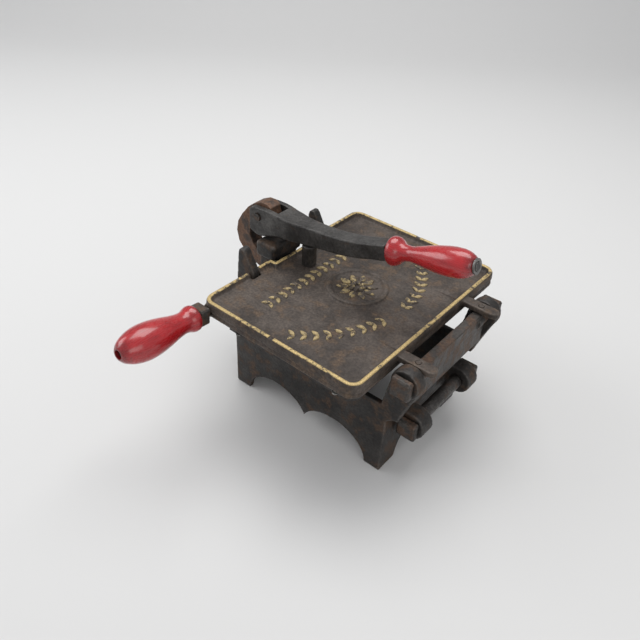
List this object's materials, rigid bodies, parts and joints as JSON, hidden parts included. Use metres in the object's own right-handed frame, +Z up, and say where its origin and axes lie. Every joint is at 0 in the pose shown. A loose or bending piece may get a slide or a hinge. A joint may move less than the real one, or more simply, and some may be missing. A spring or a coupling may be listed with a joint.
{
  "type": "strap cutter",
  "caption": "Bench strap cutter: arched cast stand, hinged tray lid with slitting knives under it, press lever with turned grip and a corner grip.",
  "frame": {"origin": "on the floor that the feet stand on, under the middle of the whole object's outline seen from above", "axes": "+Z up, +X from the lever's pin towards the lid's hinge, +Y along the hinge, away from the corner grip"},
  "size_m": [0.297, 0.3546, 0.2332],
  "materials": {
    "dark_iron": "dark oxidised casting",
    "worn_iron": "bare, handled",
    "rusty_iron": "brown rust",
    "brown_iron": "brown japanned casting with gilt bead and relief",
    "dull_steel": "dull",
    "blade_steel": "ground",
    "red_wood": "glossy red lacquer"
  },
  "bodies": {
    "stand": {"base_frame": "dark_iron", "bed_plate": "worn_iron", "bed_screw_1": "dull_steel", "bed_screw_2": "dull_steel", "bed_screw_3": "dull_steel", "bed_screw_4": "dull_steel", "hinge_bolt_near": "worn_iron", "hinge_bolt_far": "worn_iron", "guide_shaft": "dark_iron", "shaft_nut": "dark_iron", "standard": "rusty_iron", "standard_bolt_1": "rusty_iron", "standard_bolt_2": "rusty_iron"},
    "lid": {"lid_plate": "brown_iron", "press_button": "worn_iron", "hinge_bar": "worn_iron", "tongue_rivet_near": "worn_iron", "tongue_rivet_far": "worn_iron", "knife_carrier": "dark_iron", "carrier_screw_1": "dull_steel", "carrier_screw_2": "dull_steel", "carrier_screw_3": "dull_steel", "carrier_screw_4": "dull_steel", "knife_1": "blade_steel", "knife_2": "blade_steel", "knife_3": "blade_steel", "knife_4": "blade_steel", "knife_5": "blade_steel", "knife_spacer_1": "dull_steel", "knife_spacer_2": "dull_steel", "knife_spacer_3": "dull_steel", "knife_spacer_4": "dull_steel", "knife_spacer_5": "dull_steel", "knife_spacer_6": "dull_steel", "knife_hanger_near": "dark_iron", "knife_hanger_far": "dark_iron", "knife_bolt": "dull_steel", "knife_nut": "dull_steel", "side_rod": "dull_steel", "side_block": "dark_iron"},
    "lever": {"press_lever": "worn_iron", "lever_pin": "dull_steel", "lever_grip": "red_wood", "lever_washer": "dull_steel"},
    "side_grip": {"side_grip": "red_wood"},
    "guide_roller": {"guide_roller": "worn_iron"}
  },
  "joints": [
    {"name": "lid_hinge", "type": "hinge", "parent": "stand", "child": "lid", "pos_m": [0.1288, 0.05186, 0.1305], "axis": [0, 1, 0], "range_deg": [0, 42]},
    {"name": "lever_swing", "type": "hinge", "parent": "stand", "child": "lever", "pos_m": [-0.1085, 0.05186, 0.181], "axis": [0, -1, 0], "range_deg": [0, 120]},
    {"name": "side_grip_spin", "type": "hinge", "parent": "lid", "child": "side_grip", "pos_m": [-0.0705, -0.07354, 0.1364], "axis": [0, -0.9959, 0.0906], "continuous": true},
    {"name": "roller_spin", "type": "hinge", "parent": "stand", "child": "guide_roller", "pos_m": [0.1295, 0.05186, 0.06], "axis": [0, 1, 0], "continuous": true}
  ],
  "couplings": [
    {"joint": "lever_swing", "follows": "lid_hinge", "ratio": 2.8571}
  ]
}
